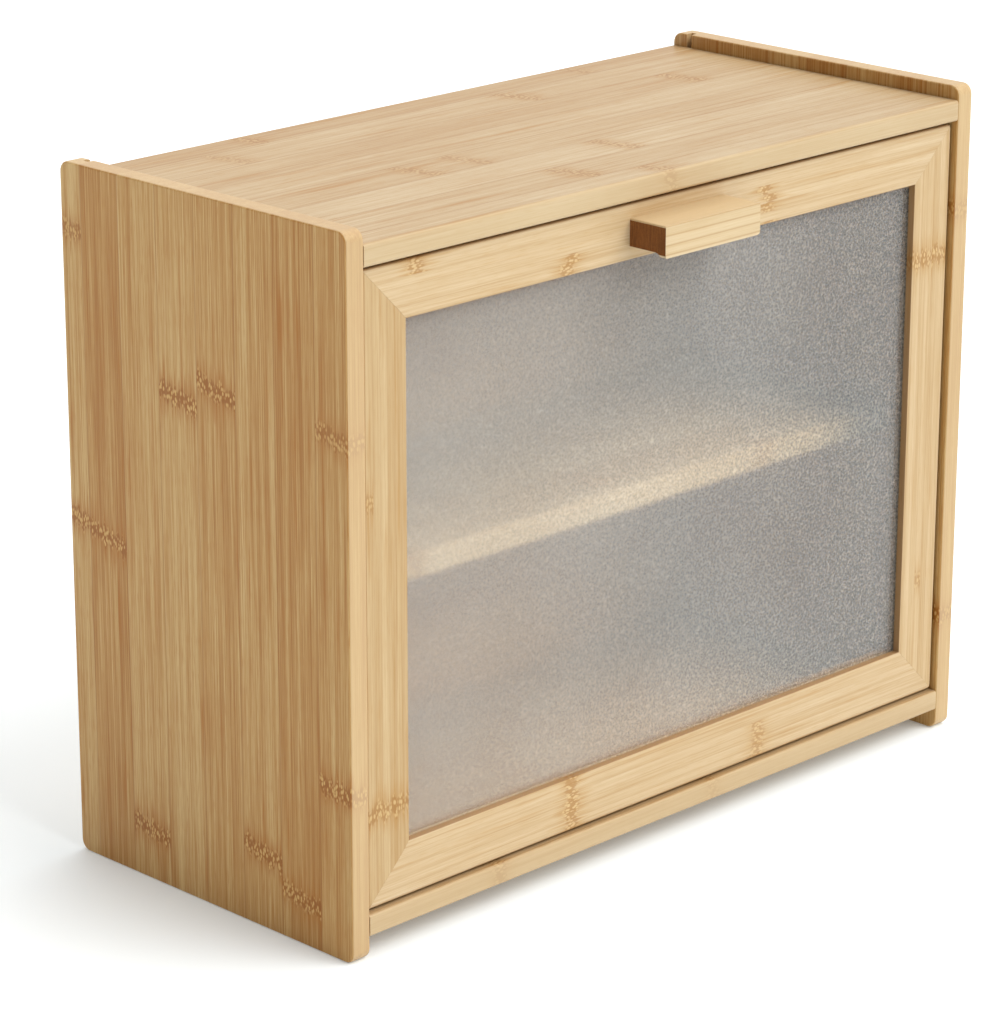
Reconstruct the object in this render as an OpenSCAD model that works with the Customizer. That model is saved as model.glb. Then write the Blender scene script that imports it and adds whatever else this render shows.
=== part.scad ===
// Bamboo bread box with a drop-front door. Two side boards reach from the counter to a low lip
// above the top board. A thin back slides in grooves, a loose shelf lies on four steel supports,
// and a mitred door frame with a frosted pane swings down on two steel pins.
// +X is to the right, -Y is the front, +Z is up. The origin is on the counter, at the centre of
// the footprint with the handle counted in. All sizes are in millimetres.

/* [Case] */
// Width of the case over both side panels
case_width = 400; // [300:1:500]
// Height of the side panels, from the counter to their top edge
case_height = 320; // [260:1:420]
// Depth of the case from its front edges to its rear edges
case_depth = 180; // [150:1:260]
// Thickness of the side panels
side_t = 10; // [9:0.5:16]
// Thickness of the top panel
top_t = 10; // [9:0.5:16]
// Thickness of the bottom panel
bottom_t = 10; // [9:0.5:16]
// Height of the side panels above the top panel
lip_h = 6.5; // [3:0.5:15]
// Height of the bottom panel above the counter
foot_h = 10; // [4:0.5:20]
// Corner radius of the side panels, seen from the side
side_corner_r = 5; // [1:0.5:8]
// Round-over on the front and rear edges of the top and bottom panels, the shelf and the cleat
board_edge_r = 1.5; // [0.5:0.25:3]

/* [Back panel] */
// Thickness of the back panel
back_t = 3; // [2.5:0.5:5]
// Distance from the rear edges of the case to the back panel
back_inset = 9; // [4:0.5:15]
// Depth of the grooves that hold the back panel
back_groove_d = 4; // [3:0.5:5]

/* [Shelf] */
// Height of the shelf's upper face above the bottom panel
shelf_level = 138; // [90:1:170]
// Thickness of the shelf
shelf_t = 12; // [6:0.5:16]
// Distance from the front edges of the case to the shelf
shelf_setback = 38; // [32:1:70]
// Gap between the shelf and each side panel
shelf_side_gap = 1; // [0.5:0.25:3]
// Gap between the shelf and the back panel
shelf_rear_gap = 1.5; // [0.5:0.5:5]
// Distance from the shelf's front and rear edges to its supports
support_inset = 24; // [12:1:35]
// Diameter of the support's round stem
support_d = 5; // [4:0.5:6]
// Length of the support's flat tongue under the shelf
support_tongue_l = 9; // [6:0.5:14]
// Width of the support's tongue
support_tongue_w = 8; // [6:0.5:12]
// Thickness of the support's tongue
support_tongue_t = 2.4; // [1.5:0.1:3]

/* [Dowels] */
// Diameter of the dowels that join the boards
dowel_d = 6; // [4:0.5:7]
// Length of those dowels
dowel_l = 24; // [18:1:40]
// Wood left over each dowel's end in the side panel
dowel_cover = 3; // [2:0.5:4]
// Distance from the case's front and rear edges to the outer dowels
dowel_inset = 30; // [22:1:50]

/* [Door] */
// Distance from the front edges of the case back to the door's face
door_recess = 2.7; // [1:0.1:6]
// Thickness of the door frame
door_t = 12; // [11:0.5:18]
// Width of the rails and stiles
rail_w = 25; // [22:0.5:45]
// Gap between the door and each side panel
door_side_gap = 1.2; // [0.6:0.1:2.5]
// Gap between the door and the top panel
door_top_gap = 1; // [0.6:0.1:2.5]
// Gap between the door and the bottom panel
door_bottom_gap = 1; // [0.8:0.1:2.5]
// Round-over on the door's outer front edges
door_edge_r = 1.5; // [1:0.1:2]
// Radius of the door's corners, seen from the front
door_corner_r = 2; // [0.5:0.25:5]
// Width of the shallow bevel round the pane
bevel_w = 4; // [1:0.5:6]
// Depth of that bevel
bevel_d = 0.5; // [0.3:0.1:1.5]
// Thickness of the mitre splines
spline_t = 2; // [1.5:0.5:3]
// Length of a mitre spline along its mitre
spline_l = 14; // [8:0.5:16]
// Width of a mitre spline across its mitre
spline_w = 10; // [6:0.5:12]
// Distance from the door's outer corner to a spline's middle, along the mitre
spline_reach = 15; // [12:0.5:17]
// Distance from the door's rear face to a spline's middle
spline_rear = 3.3; // [3:0.1:4]

/* [Pane] */
// Thickness of the frosted pane
pane_t = 3; // [2:0.5:4]
// Distance from the door's face back to the pane
pane_setback = 4; // [3:0.25:5]
// Depth of the groove that holds the pane
pane_groove_d = 5; // [3:0.5:7]
// How far short of the groove's bottom the pane stops
pane_play = 0.5; // [0.25:0.25:1]

/* [Handle] */
// Length of the handle
handle_l = 61; // [45:1:140]
// How far the handle stands out from the door's face
handle_out = 21; // [14:0.5:30]
// Height of the handle's front face
handle_h = 14.5; // [12:0.5:17]
// Distance from the door's top edge down to the handle
handle_drop = 6.8; // [4:0.1:8]
// Thickness of the hooked lip at the handle's front, at its lower edge
hook_t = 3.9; // [3:0.1:6]
// How far the hooked lip hangs below the handle's underside
hook_h = 2.1; // [1:0.1:4]
// Corner radius of the handle, seen from the front
handle_corner_r = 1.2; // [0.5:0.1:3]

/* [Hinge pins] */
// Diameter of the hinge pins
pin_d = 3; // [2:0.25:3]
// How far a pin reaches into the door
pin_in_door = 12; // [8:0.5:18]
// Wood left over a pin's end in the side panel
pin_cover = 3; // [2.5:0.5:4]
// Least distance between the door's lower edge and the bottom panel as the door swings
swing_gap = 0.3; // [0.2:0.05:0.4]

/* [Catch] */
// Height of the stop cleat under the top panel
cleat_h = 14; // [12:0.5:16]
// Depth of the stop cleat, front to rear
cleat_w = 12; // [9:0.5:16]
// Distance between the door's rear face and the cleat when the door is shut
stop_gap = 0.3; // [0.3:0.1:1]
// Diameter of the magnets
magnet_d = 8; // [6:0.5:9]
// Thickness of the magnets
magnet_t = 4; // [2:0.5:5]
// Diameter of the strike plates
strike_d = 9; // [7:0.5:10]
// Thickness of the strike plates
strike_t = 1; // [0.8:0.1:1.5]
// Distance from the door's side edges to the magnets and strike plates
catch_inset = 45; // [35:1:70]

/* [Screws] */
// Shank diameter of the screws that hold the handle and the cleat
screw_d = 3.5; // [3:0.25:4]
// Length of the handle screws
handle_screw_l = 25; // [20:1:27]
// Distance between the two handle screws
handle_screw_pitch = 36; // [24:1:40]
// Length of the cleat screws
cleat_screw_l = 20; // [18:1:21]
// Distance from the cleat's ends to its outer screws
cleat_screw_inset = 70; // [60:1:90]
// Shank diameter of the strike plate screws
strike_screw_d = 2.5; // [2:0.25:3]
// Length of the strike plate screws
strike_screw_l = 9; // [7:0.5:9.5]

/* [Hidden] */
// Gap on each side of a board in its groove and of a spline in its slot
groove_gap = 0.1;
// Gap all round a dowel, a magnet or a screw in its hole
glue_gap = 0.05;
// Radial clearance of a hinge pin in its side panel
pin_running_gap = 0.06;
// Radial gap of a pressed pin or support
press_gap = 0.02;
// Empty length past the end of a dowel, pin or screw in its blind hole
end_gap = 0.5;
// Gap between a groove's bottom and the edge of the back panel
back_play = 0.5;
// Gap between the cleat's ends and the side panels
cleat_end_gap = 0.5;
// A screw head is this many times as wide as its shank
head_ratio = 2;
// Length of a screw's pointed end, as a multiple of its shank diameter
point_ratio = 1.2;
// Overshoot of a cut past the face that it starts from
over = 1;
$fn = 64;

inner_w = case_width - 2 * side_t;
inner_x = inner_w / 2;

// Front-to-rear places, with the whole footprint centred on the origin
handle_reach = handle_out - door_recess;
case_rear = (case_depth + handle_reach) / 2;
case_front = case_rear - case_depth;
case_mid = (case_front + case_rear) / 2;
door_front = case_front + door_recess;
door_rear = door_front + door_t;
back_rear = case_rear - back_inset;
back_front = back_rear - back_t;
shelf_front = case_front + shelf_setback;
shelf_rear = back_front - shelf_rear_gap;
cleat_front = door_rear + stop_gap;

// Heights above the counter
floor_z = foot_h + bottom_t;
ceiling_z = case_height - lip_h - top_t;
shelf_under = floor_z + shelf_level - shelf_t;
door_low = floor_z + door_bottom_gap;
door_high = ceiling_z - door_top_gap;
door_h = door_high - door_low;
door_w = inner_w - 2 * door_side_gap;
handle_top = door_high - handle_drop;
handle_screw_z = handle_top - (handle_h - hook_h) / 2;
catch_z = ceiling_z - cleat_h / 2;
catch_x = door_w / 2 - catch_inset;

// The pin's axis lies equally far behind the door's face and above its lower edge. The distance
// is the largest at which the rounded lower edge swings clear of the bottom panel by swing_gap.
pin_inset = (door_bottom_gap - swing_gap) / (sqrt(2) - 1) + door_edge_r;
pin_y = door_front + pin_inset;
pin_z = door_low + pin_inset;

dowel_in_side = side_t - dowel_cover;
pin_in_side = side_t - pin_cover;
dowel_ys = [case_front + dowel_inset, case_mid, case_rear - dowel_inset];
top_dowel_z = ceiling_z + top_t / 2;
bottom_dowel_z = foot_h + bottom_t / 2;
support_ys = [shelf_front + support_inset, shelf_rear - support_inset];
support_z = shelf_under - support_d / 2;
cleat_half = inner_x - cleat_end_gap;
cleat_screw_xs = [-cleat_half + cleat_screw_inset, 0, cleat_half - cleat_screw_inset];
handle_screw_xs = [-handle_screw_pitch / 2, handle_screw_pitch / 2];

bamboo = "#e0bd88";
bamboo_dark = "#c99c62";
steel = "silver";

// ---- Shared shapes ----

// A rectangle from the origin with round corners
module round_rect(w, h, r) {
    translate([r, 0]) square([w - 2 * r, h]);
    translate([0, r]) square([w, h - 2 * r]);
    for (x = [r, w - r], y = [r, h - r])
        translate([x, y]) circle(r);
}

// Stretches an outline drawn as (y, z) along X, centred on x = 0
module along_x(length) {
    translate([-length / 2, 0, 0])
        rotate([90, 0, 90])
            linear_extrude(length) children();
}

// Stretches an outline drawn as (x, z) along Y, from y = 0 to the given depth
module along_y(depth) {
    translate([0, depth, 0])
        rotate([90, 0, 0])
            linear_extrude(depth) children();
}

// A cylinder along X from x0 to x1
module rod_x(x0, x1, y, z, r) {
    translate([x0, y, z])
        rotate([0, 90, 0])
            cylinder(r = r, h = x1 - x0);
}

// A board that spans the case, with its front and rear edges rounded over
module spanning_board(width, front, rear, low, thickness) {
    along_x(width)
        translate([front, low])
            round_rect(rear - front, thickness, board_edge_r);
}

// A countersunk screw with its head's flat face at the origin and its point towards +Z
module screw(d, length, gap = 0) {
    head_r = head_ratio * d / 2;
    shank_r = d / 2 + gap;
    point_l = point_ratio * d;
    cylinder(r1 = head_r + gap, r2 = shank_r, h = head_r - d / 2);
    cylinder(r = shank_r, h = length - point_l);
    translate([0, 0, length - point_l])
        cylinder(r1 = shank_r, r2 = d / 8, h = point_l);
}

// The hole that a screw of that size needs, open at its head and a little longer than the screw
module screw_hole(d, length) {
    head_r = head_ratio * d / 2;
    screw(d, length, glue_gap);
    cylinder(r = d / 2 + glue_gap, h = length + end_gap);
    translate([0, 0, -over])
        cylinder(r = head_r + glue_gap, h = over);
}

// ---- Case ----

// The dowels of one joint on the right of the case, at height z
module dowel_row(z, gap = 0, end = 0) {
    x1 = inner_x + dowel_in_side;
    for (y = dowel_ys)
        rod_x(x1 - dowel_l - end, x1 + end, y, z, dowel_d / 2 + gap);
}

// The groove or grooves cut for the back panel, as a slab between two heights
module back_groove(half_width, low, high) {
    translate([-half_width, back_front - groove_gap, low])
        cube([2 * half_width, back_t + 2 * groove_gap, high - low]);
}

module side_panel() {
    color(bamboo)
    difference() {
        translate([inner_x + side_t / 2, case_front, 0])
            along_x(side_t)
                round_rect(case_depth, case_height, side_corner_r);
        back_groove(inner_x + back_groove_d, -over, case_height + over);
        dowel_row(top_dowel_z, glue_gap, end_gap);
        dowel_row(bottom_dowel_z, glue_gap, end_gap);
        for (y = support_ys)
            support_hole(y);
        rod_x(inner_x - over, inner_x + pin_in_side + end_gap, pin_y, pin_z,
              pin_d / 2 + pin_running_gap);
    }
}

module left_side_panel() {
    mirror([1, 0, 0]) side_panel();
}

module right_side_panel() {
    side_panel();
}

module top_panel() {
    color(bamboo)
    difference() {
        spanning_board(inner_w, case_front, case_rear, ceiling_z, top_t);
        back_groove(inner_x + over, ceiling_z - over, ceiling_z + back_groove_d);
        for (side = [0, 1])
            mirror([side, 0, 0])
                dowel_row(top_dowel_z, glue_gap, end_gap);
        for (x = cleat_screw_xs)
            cleat_screw_at(x) screw_hole(screw_d, cleat_screw_l);
    }
}

module bottom_panel() {
    color(bamboo)
    difference() {
        spanning_board(inner_w, case_front, case_rear, foot_h, bottom_t);
        back_groove(inner_x + over, floor_z - back_groove_d, floor_z + over);
        for (side = [0, 1])
            mirror([side, 0, 0])
                dowel_row(bottom_dowel_z, glue_gap, end_gap);
    }
}

module back_panel() {
    tongue = back_groove_d - back_play;
    color(bamboo_dark)
    translate([-inner_x - tongue, back_front, floor_z - tongue])
        cube([inner_w + 2 * tongue, back_t, ceiling_z - floor_z + 2 * tongue]);
}

module top_right_dowels() {
    color(bamboo_dark) dowel_row(top_dowel_z);
}

module top_left_dowels() {
    mirror([1, 0, 0]) top_right_dowels();
}

module bottom_right_dowels() {
    color(bamboo_dark) dowel_row(bottom_dowel_z);
}

module bottom_left_dowels() {
    mirror([1, 0, 0]) bottom_right_dowels();
}

// ---- Shelf and its supports ----

// The stem's length in the side panel is the same as a dowel's
module support_stem(y, x0, gap, end) {
    rod_x(x0, inner_x + dowel_in_side + end, y, support_z, support_d / 2 + gap);
}

module support_hole(y) {
    support_stem(y, inner_x - over, press_gap, end_gap);
}

module shelf_support(y) {
    stem_out = support_tongue_l / 3;
    support_stem(y, inner_x - stem_out, 0, 0);
    translate([inner_x - support_tongue_l, y - support_tongue_w / 2,
               shelf_under - support_tongue_t])
        cube([support_tongue_l, support_tongue_w, support_tongue_t]);
}

module shelf_supports() {
    color(steel)
    for (side = [0, 1], y = support_ys)
        mirror([side, 0, 0]) shelf_support(y);
}

module shelf() {
    color(bamboo)
    spanning_board(inner_w - 2 * shelf_side_gap, shelf_front, shelf_rear, shelf_under, shelf_t);
}

// ---- Stop cleat and catch ----

module cleat_screw_at(x) {
    translate([x, cleat_front + cleat_w / 2, ceiling_z - cleat_h]) children();
}

// A disc on the right whose front face is at y, as a magnet, a plate or its pocket
module catch_disc(y, thickness, d) {
    translate([catch_x, y, catch_z])
        rotate([-90, 0, 0])
            cylinder(d = d, h = thickness);
}

module stop_cleat() {
    color(bamboo)
    difference() {
        spanning_board(2 * cleat_half, cleat_front, cleat_front + cleat_w,
                       ceiling_z - cleat_h, cleat_h);
        for (x = cleat_screw_xs)
            cleat_screw_at(x) screw_hole(screw_d, cleat_screw_l);
        for (side = [0, 1])
            mirror([side, 0, 0])
                catch_disc(cleat_front - over, magnet_t + over, magnet_d + 2 * glue_gap);
    }
}

module cleat_screws() {
    color(steel)
    for (x = cleat_screw_xs)
        cleat_screw_at(x) screw(screw_d, cleat_screw_l);
}

module right_magnet() {
    color("gainsboro") catch_disc(cleat_front, magnet_t, magnet_d);
}

module left_magnet() {
    mirror([1, 0, 0]) right_magnet();
}

// ---- Door frame ----

// Section of a rail or stile. Its outer edge is x = 0 and its front face is y = 0.
module frame_section() {
    groove_y = pane_setback - groove_gap;
    difference() {
        polygon([
            [0, 0], [rail_w - bevel_w, 0], [rail_w, bevel_d],
            [rail_w, door_t], [0, door_t]
        ]);
        translate([rail_w - pane_groove_d, groove_y])
            square([pane_groove_d + over, pane_t + 2 * groove_gap]);
        difference() {
            translate([-over, -over])
                square(door_edge_r + over);
            translate([door_edge_r, door_edge_r])
                circle(door_edge_r);
        }
    }
}

// A bar of that section along Z, centred on z = 0, with both ends cut at 45 degrees
module frame_bar(length) {
    half = length / 2;
    intersection() {
        translate([0, 0, -half])
            linear_extrude(length) frame_section();
        along_y(door_t)
            polygon([[0, -half], [0, half], [rail_w, half - rail_w], [rail_w, rail_w - half]]);
    }
}

// Rounds the door's four outer corners
module door_outline() {
    translate([-door_w / 2, door_front, door_low])
        along_y(door_t)
            round_rect(door_w, door_h, door_corner_r);
}

// A spline at the lower right corner, grown by a gap on every side
module spline(gap = 0) {
    reach = spline_reach / sqrt(2);
    translate([door_w / 2 - reach, door_rear - spline_rear, door_low + reach])
        rotate([0, 45, 0])
            cube([spline_l + 2 * gap, spline_t + 2 * gap, spline_w + 2 * gap], center = true);
}

module four_splines(gap = 0) {
    door_mid_z = (door_low + door_high) / 2;
    for (side = [0, 1], end = [0, 1])
        mirror([side, 0, 0])
            translate([0, 0, end * 2 * door_mid_z])
                mirror([0, 0, end])
                    spline(gap);
}

module hinge_pin(gap = 0, end = 0) {
    rod_x(door_w / 2 - pin_in_door - end, inner_x + pin_in_side, pin_y, pin_z, pin_d / 2 + gap);
}

// Cuts one frame bar to the door's outline, with its spline slots and hinge pin holes
module fitted_bar() {
    difference() {
        intersection() {
            children();
            door_outline();
        }
        four_splines(groove_gap);
        for (side = [0, 1])
            mirror([side, 0, 0]) hinge_pin(press_gap, end_gap);
    }
}

module door_top_rail() {
    color(bamboo)
    difference() {
        fitted_bar()
            translate([0, door_front, door_high])
                rotate([0, 90, 0]) frame_bar(door_w);
        for (x = handle_screw_xs)
            handle_screw_at(x) screw_hole(screw_d, handle_screw_l);
        for (side = [0, 1])
            mirror([side, 0, 0]) {
                catch_disc(door_rear - strike_t, strike_t + over, strike_d + 2 * glue_gap);
                strike_screw_at() screw_hole(strike_screw_d, strike_screw_l);
            }
    }
}

module door_bottom_rail() {
    color(bamboo)
    fitted_bar()
        translate([0, door_front, door_low])
            rotate([0, -90, 0]) frame_bar(door_w);
}

module door_right_stile() {
    color(bamboo)
    fitted_bar()
        translate([door_w / 2, door_front, (door_low + door_high) / 2])
            mirror([1, 0, 0]) frame_bar(door_h);
}

module door_left_stile() {
    mirror([1, 0, 0]) door_right_stile();
}

module mitre_splines() {
    color(bamboo_dark) four_splines();
}

module door_pane() {
    rim = rail_w - pane_groove_d + pane_play;
    color("#c9cfd0")
    translate([-door_w / 2 + rim, door_front + pane_setback, door_low + rim])
        cube([door_w - 2 * rim, pane_t, door_h - 2 * rim]);
}

// ---- Handle, strike plates and hinge pins ----

module handle_screw_at(x) {
    translate([x, door_rear, handle_screw_z])
        rotate([90, 0, 0]) children();
}

// Section of the handle as (y, z), with its rear face on y = 0 and its lowest edge on z = 0
module handle_section() {
    difference() {
        translate([-handle_out, 0])
            square([handle_out, handle_h]);
        translate([hook_t + hook_h - handle_out, -over])
            square([handle_out - hook_t - hook_h + over, hook_h + over]);
        translate([hook_t + hook_h - handle_out, 0])
            circle(hook_h);
    }
}

module door_handle() {
    color(bamboo)
    difference() {
        translate([0, door_front, handle_top - handle_h])
            intersection() {
                along_x(handle_l) handle_section();
                translate([-handle_l / 2, -handle_out, 0])
                    along_y(handle_out)
                        round_rect(handle_l, handle_h, handle_corner_r);
            }
        for (x = handle_screw_xs)
            handle_screw_at(x) screw_hole(screw_d, handle_screw_l);
    }
}

module handle_screws() {
    color(steel)
    for (x = handle_screw_xs)
        handle_screw_at(x) screw(screw_d, handle_screw_l);
}

module strike_screw_at() {
    translate([catch_x, door_rear, catch_z])
        rotate([90, 0, 0]) children();
}

module right_strike_plate() {
    color(steel)
    difference() {
        catch_disc(door_rear - strike_t, strike_t, strike_d);
        strike_screw_at() screw_hole(strike_screw_d, strike_screw_l);
    }
}

module left_strike_plate() {
    mirror([1, 0, 0]) right_strike_plate();
}

module strike_screws() {
    color(steel)
    for (side = [0, 1])
        mirror([side, 0, 0])
            strike_screw_at() screw(strike_screw_d, strike_screw_l);
}

module right_hinge_pin() {
    color(steel) hinge_pin();
}

module left_hinge_pin() {
    mirror([1, 0, 0]) right_hinge_pin();
}

left_side_panel();
right_side_panel();
top_panel();
bottom_panel();
back_panel();
top_left_dowels();
top_right_dowels();
bottom_left_dowels();
bottom_right_dowels();
shelf_supports();
stop_cleat();
cleat_screws();
left_magnet();
right_magnet();
shelf();
door_top_rail();
door_bottom_rail();
door_left_stile();
door_right_stile();
mitre_splines();
door_pane();
door_handle();
handle_screws();
left_strike_plate();
right_strike_plate();
strike_screws();
left_hinge_pin();
right_hinge_pin();
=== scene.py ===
import math

import bmesh
import bpy
from mathutils import Matrix, Vector


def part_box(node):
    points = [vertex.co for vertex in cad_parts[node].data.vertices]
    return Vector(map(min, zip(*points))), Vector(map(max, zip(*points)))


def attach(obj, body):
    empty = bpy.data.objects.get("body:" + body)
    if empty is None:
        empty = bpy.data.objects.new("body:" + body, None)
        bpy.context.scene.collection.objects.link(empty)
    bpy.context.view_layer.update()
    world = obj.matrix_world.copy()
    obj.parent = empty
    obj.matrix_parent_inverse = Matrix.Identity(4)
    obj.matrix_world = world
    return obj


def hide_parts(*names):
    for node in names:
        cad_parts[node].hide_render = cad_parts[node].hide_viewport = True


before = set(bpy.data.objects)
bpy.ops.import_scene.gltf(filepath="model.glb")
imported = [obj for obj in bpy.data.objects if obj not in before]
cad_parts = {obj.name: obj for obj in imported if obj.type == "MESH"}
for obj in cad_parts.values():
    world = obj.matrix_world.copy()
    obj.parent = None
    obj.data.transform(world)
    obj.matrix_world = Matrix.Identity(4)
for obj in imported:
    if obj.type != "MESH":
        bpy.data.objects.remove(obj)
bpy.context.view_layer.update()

MM = 0.001

# ---- Studio ----
# A white floor under a soft sky, brightest behind the box, with one broad lamp at the front right
# and a weaker one overhead. None of it belongs to the box.

view_azimuth = math.radians(-45.13)
view_elevation = math.radians(18.29)
view_roll = math.radians(0.08)
view_distance = 1.8238
look_at = Vector((-0.0314, 0.0011, 0.1443))
back = Vector((
    math.sin(view_azimuth) * math.cos(view_elevation),
    -math.cos(view_azimuth) * math.cos(view_elevation),
    math.sin(view_elevation),
))
level_right = (-back).cross(Vector((0, 0, 1))).normalized()
level_up = level_right.cross(-back)
right = level_right * math.cos(view_roll) + level_up * math.sin(view_roll)
up = level_up * math.cos(view_roll) - level_right * math.sin(view_roll)
camera = bpy.data.objects.new("camera", bpy.data.cameras.new("camera"))
facing = Matrix((right, up, back)).transposed().to_4x4()
camera.matrix_world = Matrix.Translation(look_at + back * view_distance) @ facing
camera.data.lens = 140.96
camera.data.clip_start = 0.05
camera.data.clip_end = 100
bpy.context.scene.collection.objects.link(camera)
bpy.context.scene.camera = camera
bpy.context.scene.view_settings.view_transform = "Standard"


class Thread:
    """A socket of a shader; sums and products on it add Math nodes."""

    def __init__(self, socket):
        self.socket = socket

    def node(self, kind, settings, sockets, out=0):
        tree = self.socket.id_data
        made = tree.nodes.new("ShaderNode" + kind)
        for key, value in settings.items():
            if key == "stops":
                ramp = made.color_ramp
                while len(ramp.elements) < len(value):
                    ramp.elements.new(0.5)
                for element, (position, colour) in zip(ramp.elements, value):
                    element.position = position
                    element.color = colour
            elif key == "between":
                made.color_ramp.interpolation = value
            else:
                setattr(made, key, value)
        for key, value in sockets.items():
            if isinstance(value, Thread):
                tree.links.new(value.socket, made.inputs[key])
            else:
                made.inputs[key].default_value = value
        return Thread(made.outputs[out])

    def maths(self, operation, *others):
        sockets = {0: self}
        sockets.update({place + 1: other for place, other in enumerate(others)})
        return self.node("Math", {"operation": operation}, sockets)

    def swapped(self, operation, other):
        return self.node("Math", {"operation": operation}, {0: other, 1: self})

    def __add__(self, other):
        return self.maths("ADD", other)

    def __radd__(self, other):
        return self.swapped("ADD", other)

    def __sub__(self, other):
        return self.maths("SUBTRACT", other)

    def __rsub__(self, other):
        return self.swapped("SUBTRACT", other)

    def __mul__(self, other):
        return self.maths("MULTIPLY", other)

    def __rmul__(self, other):
        return self.swapped("MULTIPLY", other)

    def __truediv__(self, other):
        return self.maths("DIVIDE", other)

    def __rtruediv__(self, other):
        return self.swapped("DIVIDE", other)


def smooth(value, low, high):
    """0 below low, 1 above high, with a soft step between."""
    sockets = {0: value, 1: low, 2: high, 3: 0.0, 4: 1.0}
    return value.node("MapRange", {"interpolation_type": "SMOOTHSTEP"}, sockets)


def mixed(amount, first, second):
    """The first colour where amount is 0 and the second where it is 1."""
    return amount.node("Mix", {"data_type": "RGBA"}, {0: amount, 6: first, 7: second}, 2)


def rgb(red, green, blue):
    return (red, green, blue, 1.0)


def start_material(name):
    """A material with its Principled shader, and a thread of the object's own coordinates."""
    material = bpy.data.materials.new(name)
    material.use_nodes = True
    tree = material.node_tree
    shader = tree.nodes["Principled BSDF"]
    place = Thread(tree.nodes.new("ShaderNodeTexCoord").outputs["Object"])
    return material, shader, place


def in_mm(place):
    """The same place with its numbers in millimetres."""
    return place.node("VectorMath", {"operation": "SCALE"}, {0: place, "Scale": 1000.0})


def along_axis(vector, axis):
    """One number of a vector: x, y or z."""
    return vector.node("SeparateXYZ", {}, {0: vector}, axis.upper())


def wire(shader, **sockets):
    """Sets or links the shader's sockets, named with underscores for spaces."""
    for key, value in sockets.items():
        socket = shader.inputs[key.replace("_", " ")]
        if isinstance(value, Thread):
            shader.id_data.links.new(value.socket, socket)
        else:
            socket.default_value = value


floor_half = 20.0
floor_mesh = bpy.data.meshes.new("floor")
floor_corners = [(floor_half * x, floor_half * y, 0) for x, y in ((-1, -1), (1, -1), (1, 1), (-1, 1))]
floor_mesh.from_pydata(floor_corners, [], [(0, 1, 2, 3)])
floor = bpy.data.objects.new("floor", floor_mesh)
bpy.context.scene.collection.objects.link(floor)
floor_paint, floor_shader, _ = start_material("floor_paint")
wire(floor_shader, Base_Color=rgb(0.865, 0.91, 0.935), Roughness=0.9, Specular_IOR_Level=0.1,
     Emission_Color=rgb(0.94, 1.0, 1.0), Emission_Strength=0.13)
floor_mesh.materials.append(floor_paint)

sky = bpy.data.worlds.new("sky")
bpy.context.scene.world = sky
sky.use_nodes = True
sky_light = sky.node_tree.nodes["Background"]
sky_way = Thread(sky.node_tree.nodes.new("ShaderNodeTexCoord").outputs["Generated"])
brightest = (math.sqrt(0.5), math.sqrt(0.5), 0.0)
towards = sky_way.node("VectorMath", {"operation": "DOT_PRODUCT"}, {0: sky_way, 1: brightest}, 1)
sky_glow = towards * 0.5 + 0.5
dim_sky, bright_sky = rgb(0.13, 0.112, 0.093), rgb(1.0, 1.0, 1.0)
sky_colour = mixed(sky_glow, dim_sky, bright_sky)
sky.node_tree.links.new(sky_colour.socket, sky_light.inputs["Color"])
sky_light.inputs["Strength"].default_value = 1.0

for name, energy, spread, azimuth, elevation, colour in (
    ("key_lamp", 2.55, 50, 22, 44, (1.0, 0.985, 0.96)),
    ("ceiling_lamp", 1.15, 50, 105, 68, (1.0, 1.0, 1.0)),
):
    lamp = bpy.data.objects.new(name, bpy.data.lights.new(name, "SUN"))
    lamp.data.energy = energy
    lamp.data.angle = math.radians(spread)
    lamp.data.color = colour
    turn, rise = math.radians(azimuth), math.radians(elevation)
    lamp_from = Vector((math.sin(turn) * math.cos(rise), -math.cos(turn) * math.cos(rise), math.sin(rise)))
    lamp.rotation_euler = lamp_from.to_track_quat("Z", "Y").to_euler()
    bpy.context.scene.collection.objects.link(lamp)


# ---- Side panels ----
# Two boards of bamboo strips glued edge to edge, with the grain upright. Their lower edges are
# the feet and their upper edges stand proud of the top as lips. A groove up the rear of each
# inner face takes the back panel.

def rounded_outline(low, high, radius, inset=0.0, steps=6):
    """Points round a rectangle with round corners, counterclockwise, moved in by inset."""
    least_turn = 0.02 * MM
    turn = max(radius - inset, least_turn)
    from_edge = inset + turn
    left, right = low[0] + from_edge, high[0] - from_edge
    near, far = low[1] + from_edge, high[1] - from_edge
    points = []
    corners = ((right, near, -90), (right, far, 0), (left, far, 90), (left, near, 180))
    for centre_x, centre_y, first in corners:
        for step in range(steps + 1):
            angle = math.radians(first + 90 * step / steps)
            points.append((centre_x + turn * math.cos(angle), centre_y + turn * math.sin(angle)))
    return points


def skin(rings):
    """A mesh through rings of equally many points, with a face over each end."""
    mesh = bmesh.new()
    rows = [[mesh.verts.new(point) for point in ring] for ring in rings]
    for row, following in zip(rows, rows[1:]):
        for here in range(len(row)):
            after = (here + 1) % len(row)
            mesh.faces.new((row[here], row[after], following[after], following[here]))
    mesh.faces.new(rows[0][::-1])
    mesh.faces.new(rows[-1])
    bmesh.ops.recalc_face_normals(mesh, faces=mesh.faces)
    return mesh


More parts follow.
